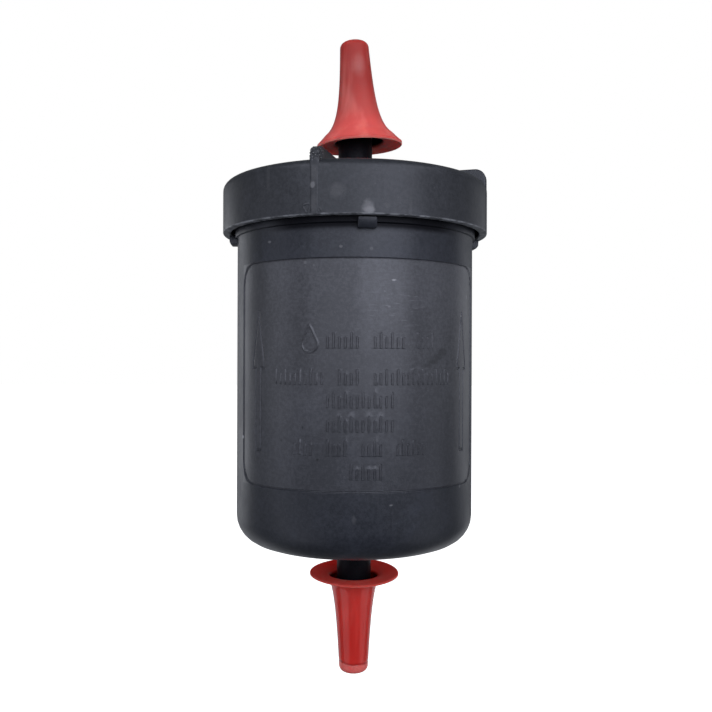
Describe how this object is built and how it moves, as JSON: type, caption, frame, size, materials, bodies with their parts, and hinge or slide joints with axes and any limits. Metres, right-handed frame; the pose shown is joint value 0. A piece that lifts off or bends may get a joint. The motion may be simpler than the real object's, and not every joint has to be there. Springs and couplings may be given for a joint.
{
  "type": "in-line fuel filter",
  "caption": "Black plastic in-line fuel filter: round pot, spin-welded lid with drive fins, pleated element inside, and a red tapered transport cap on each spigot.",
  "frame": {"origin": "on the filter's axis, at the height of the marking panel's middle, inside the plain wall that the car's clamp holds", "axes": "+Z along the axis towards the lid and the outlet, -Y towards the front of the marking panel, +X to the right seen from the front"},
  "size_m": [0.062, 0.062, 0.1487],
  "materials": {
    "pot_plastic": "moulded glass-filled polyamide, satin, lightly scuffed",
    "lid_plastic": "moulded glass-filled polyamide, slightly greyer than the pot",
    "weld_plastic": "re-solidified melt, uneven",
    "core_plastic": "natural polyamide, smooth",
    "filter_paper": "resin-impregnated filter paper, fibrous",
    "clip_steel": "zinc-plated strip",
    "end_cap_plastic": "moulded polyamide, smooth",
    "potting_resin": "cast polyurethane, glossy",
    "seal_rubber": "fluoro rubber, satin",
    "cap_plastic": "soft polyethylene, glossy and slightly translucent"
  },
  "bodies": {
    "filter": {"housing": "pot_plastic", "lid": "lid_plastic", "weld_bead": "weld_plastic", "core_tube": "core_plastic", "pleated_media": "filter_paper", "seam_clip": "clip_steel", "lower_end_cap": "end_cap_plastic", "upper_end_cap": "end_cap_plastic", "lower_potting": "potting_resin", "upper_potting": "potting_resin", "outlet_o_ring": "seal_rubber"},
    "inlet_cap": {"inlet_cap": "cap_plastic"},
    "outlet_cap": {"outlet_cap": "cap_plastic"}
  },
  "joints": [
    {"name": "inlet_cap_pull", "type": "slide", "parent": "filter", "child": "inlet_cap", "axis": [0, 0, -1], "range_m": [0, 0.025]},
    {"name": "outlet_cap_pull", "type": "slide", "parent": "filter", "child": "outlet_cap", "axis": [-0.0556, 0.0049, 0.9984], "range_m": [0, 0.025]}
  ]
}
